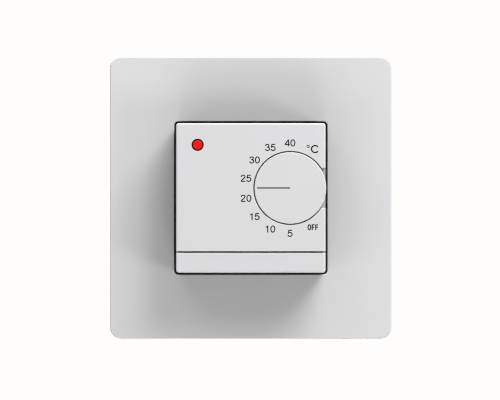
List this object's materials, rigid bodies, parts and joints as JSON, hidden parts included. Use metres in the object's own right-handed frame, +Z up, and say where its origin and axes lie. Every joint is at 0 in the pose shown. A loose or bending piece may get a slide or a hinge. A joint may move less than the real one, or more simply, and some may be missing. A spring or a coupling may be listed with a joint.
{
  "type": "wall thermostat",
  "caption": "White square flush-mounted room thermostat: raised module with a temperature dial, OFF position and red indicator, in a plain frame over a wall-box mechanism with terminals.",
  "frame": {"origin": "centre of the wall-box screw pattern, on the wall surface behind the frame", "axes": "+Z up the wall, +X right as seen from the room, +Y into the wall, so the dial faces -Y"},
  "size_m": [0.086, 0.0472, 0.086],
  "materials": {
    "white_plastic": "fine satin moulded thermoplastic",
    "dial_plastic": "fine satin moulded thermoplastic",
    "dark_plastic": "matte moulded polycarbonate",
    "housing_plastic": "matte moulded polycarbonate",
    "plated_steel": "zinc-plated sheet",
    "screw_steel": "zinc-plated",
    "pointer_ink": "grey fill",
    "red_lens": "polished, lit from behind",
    "led_epoxy": "clear tinted epoxy",
    "board_green": "solder-masked glass-epoxy laminate",
    "tinned_metal": "tinned",
    "black_plastic": "moulded",
    "pot_steel": "plated",
    "track_carbon": "carbon film",
    "nylon_shaft": "natural nylon",
    "brass": "plain",
    "copper_wire": "enamelled copper",
    "relay_blue": "moulded",
    "film_red": "dipped",
    "sleeve_black": "shrunk sleeve",
    "varistor_blue": "epoxy coat",
    "resistor_tan": "ceramic coat",
    "sensor_epoxy": "epoxy bead",
    "terminal_grey": "moulded polyamide"
  },
  "bodies": {
    "casing": {"outer_frame": "white_plastic", "mounting_plate": "plated_steel", "rear_housing": "housing_plastic", "carrier_frame": "dark_plastic", "casing_screws": "screw_steel", "front_cover": "white_plastic", "lower_strip": "white_plastic", "cover_screw": "screw_steel", "indicator_lens": "red_lens", "indicator_bezel": "black_plastic", "led_dome": "led_epoxy", "led_legs": "tinned_metal", "control_board": "board_green", "board_screws": "screw_steel", "pot_can": "pot_steel", "pot_base": "black_plastic", "pot_track": "track_carbon", "pot_pins": "tinned_metal", "off_switch_case": "black_plastic", "off_switch_contact": "brass", "sensor_bead": "sensor_epoxy", "sensor_leads": "tinned_metal", "comparator_chip": "black_plastic", "chip_legs": "tinned_metal", "link_header": "black_plastic", "link_pins": "tinned_metal", "power_board": "board_green", "relay_base": "black_plastic", "relay_case": "relay_blue", "relay_bobbin": "black_plastic", "relay_winding": "copper_wire", "relay_yoke": "pot_steel", "relay_fixed_contact": "brass", "relay_pins": "tinned_metal", "dropper_capacitor": "film_red", "smoothing_capacitor": "sleeve_black", "varistor": "varistor_blue", "fuse_resistor": "resistor_tan", "rectifier_diodes": "black_plastic", "component_leads": "tinned_metal", "terminal_block": "terminal_grey", "terminal_cages": "screw_steel", "terminal_bars": "brass", "terminal_tails": "tinned_metal", "terminal_screws": "screw_steel"},
    "knob": {"dial_knob": "dial_plastic", "dial_pointer": "pointer_ink", "pot_shaft": "nylon_shaft", "pot_wiper": "brass"},
    "armature": {"relay_armature": "pot_steel"},
    "switch_lever": {"off_switch_lever": "brass"}
  },
  "joints": [
    {"name": "knob_turn", "type": "hinge", "parent": "casing", "child": "knob", "pos_m": [0.0119, -0.014, 0.003], "axis": [0, 1, 0], "range_deg": [-120, 90]},
    {"name": "relay_close", "type": "hinge", "parent": "casing", "child": "armature", "pos_m": [0.0042, 0.0183, 0.01485], "axis": [0, 0, -1], "range_deg": [0, 4.5], "stiffness_Nm_per_rad": 0.04, "springref_deg": -11.46},
    {"name": "off_switch_open", "type": "hinge", "parent": "casing", "child": "switch_lever", "pos_m": [0.00775, -0.0047, -0.0006], "axis": [0, -1, 0], "range_deg": [0, 5], "stiffness_Nm_per_rad": 0.01, "springref_deg": -11.46}
  ]
}
